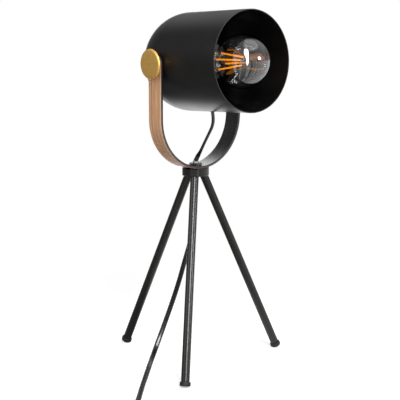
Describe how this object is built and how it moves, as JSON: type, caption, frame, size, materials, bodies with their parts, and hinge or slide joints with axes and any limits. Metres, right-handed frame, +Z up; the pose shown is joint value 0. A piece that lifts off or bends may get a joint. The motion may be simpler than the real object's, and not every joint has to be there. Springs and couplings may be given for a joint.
{
  "type": "tripod lamp",
  "caption": "Tripod table lamp: a bell-shaped shade tilts in a wood-faced U yoke on slim splayed legs, held by thumb knobs, with a clear globe bulb and a rocker switch on its cord.",
  "frame": {"origin": "on the floor, straight under the hub's axis", "axes": "+Z up, shade opening faces -Y, tilt axis along X"},
  "size_m": [0.2797, 0.3598, 0.4046],
  "materials": {
    "black_paint": "satin powder coat",
    "strip_steel": "dark satin paint",
    "veneer": "lengthwise grain, matt lacquer",
    "gold": "satin gold",
    "steel": "zinc plated",
    "black_nut": "blackened",
    "clear_plastic": "clear",
    "foot_rubber": "matt",
    "black_plastic": "satin",
    "nylon": "natural",
    "phenolic": "moulded",
    "contact_brass": "bright",
    "cap_metal": "bright",
    "bulb_clear": "clear",
    "bulb_black": "vitreous",
    "filament": "amber coating",
    "cord_pvc": "glossy",
    "pin_metal": "nickel plated"
  },
  "bodies": {
    "stand": {"hub": "black_paint", "leg_studs": "steel", "nipple": "steel", "saddle_washer": "black_nut", "top_nut": "black_nut", "cord_bush": "clear_plastic", "yoke_strip": "strip_steel", "yoke_veneer": "veneer", "stem_lead": "cord_pvc", "leg_front": "black_paint", "leg_right": "black_paint", "leg_rear": "black_paint", "foot_front": "foot_rubber", "foot_right": "foot_rubber", "foot_rear": "foot_rubber", "head_cord": "cord_pvc", "lamp_cord": "cord_pvc", "coil_lead": "cord_pvc", "cord_coil": "cord_pvc", "plug_lead": "cord_pvc", "coil_tie": "black_plastic", "switch_base": "black_plastic", "switch_cover": "black_plastic", "switch_boots": "foot_rubber", "rocker_pin": "steel", "switch_screws": "steel", "switch_terminals": "contact_brass", "switch_leaf": "contact_brass", "plug_body": "black_plastic", "plug_pins": "pin_metal"},
    "head": {"shade": "black_paint", "cord_grommet": "foot_rubber", "friction_washers": "nylon", "holder_bracket": "steel", "pivot_nuts": "steel", "holder_nipple": "steel", "holder_nut": "steel", "holder_cap": "black_plastic", "holder_shell": "black_plastic", "holder_insert": "phenolic", "screw_shell": "contact_brass", "centre_contact": "contact_brass", "terminal_screws": "contact_brass", "holder_lead": "cord_pvc"},
    "bulb": {"bulb_glass": "bulb_clear", "bulb_cap": "cap_metal", "bulb_insulator": "bulb_black", "bulb_contact": "contact_brass", "bulb_stem": "bulb_clear", "filaments": "filament", "filament_wires": "steel"},
    "knob_left": {"knob_left": "gold", "knob_stud_left": "steel"},
    "knob_right": {"knob_right": "gold", "knob_stud_right": "steel"},
    "switch_rocker": {"switch_rocker": "black_plastic"}
  },
  "joints": [
    {"name": "head_tilt", "type": "hinge", "parent": "stand", "child": "head", "pos_m": [0, 0, 0.3448], "axis": [1, 0, 0], "range_deg": [-12, 48], "deforming": ["head_cord"]},
    {"name": "knob_left_turn", "type": "hinge", "parent": "head", "child": "knob_left", "pos_m": [0, 0, 0.3448], "axis": [-1, 0, 0], "range_deg": [0, 180]},
    {"name": "knob_right_turn", "type": "hinge", "parent": "head", "child": "knob_right", "pos_m": [0, 0, 0.3448], "axis": [1, 0, 0], "range_deg": [0, 180]},
    {"name": "bulb_turn", "type": "hinge", "parent": "head", "child": "bulb", "pos_m": [0, -0.07739, 0.34886], "axis": [0, -0.9986, 0.0523], "range_deg": [0, 360]},
    {"name": "switch_rock", "type": "hinge", "parent": "stand", "child": "switch_rocker", "pos_m": [-0.10661, -0.16433, 0.0095], "axis": [0.6561, 0.7547, 0], "range_deg": [0, 14]}
  ]
}
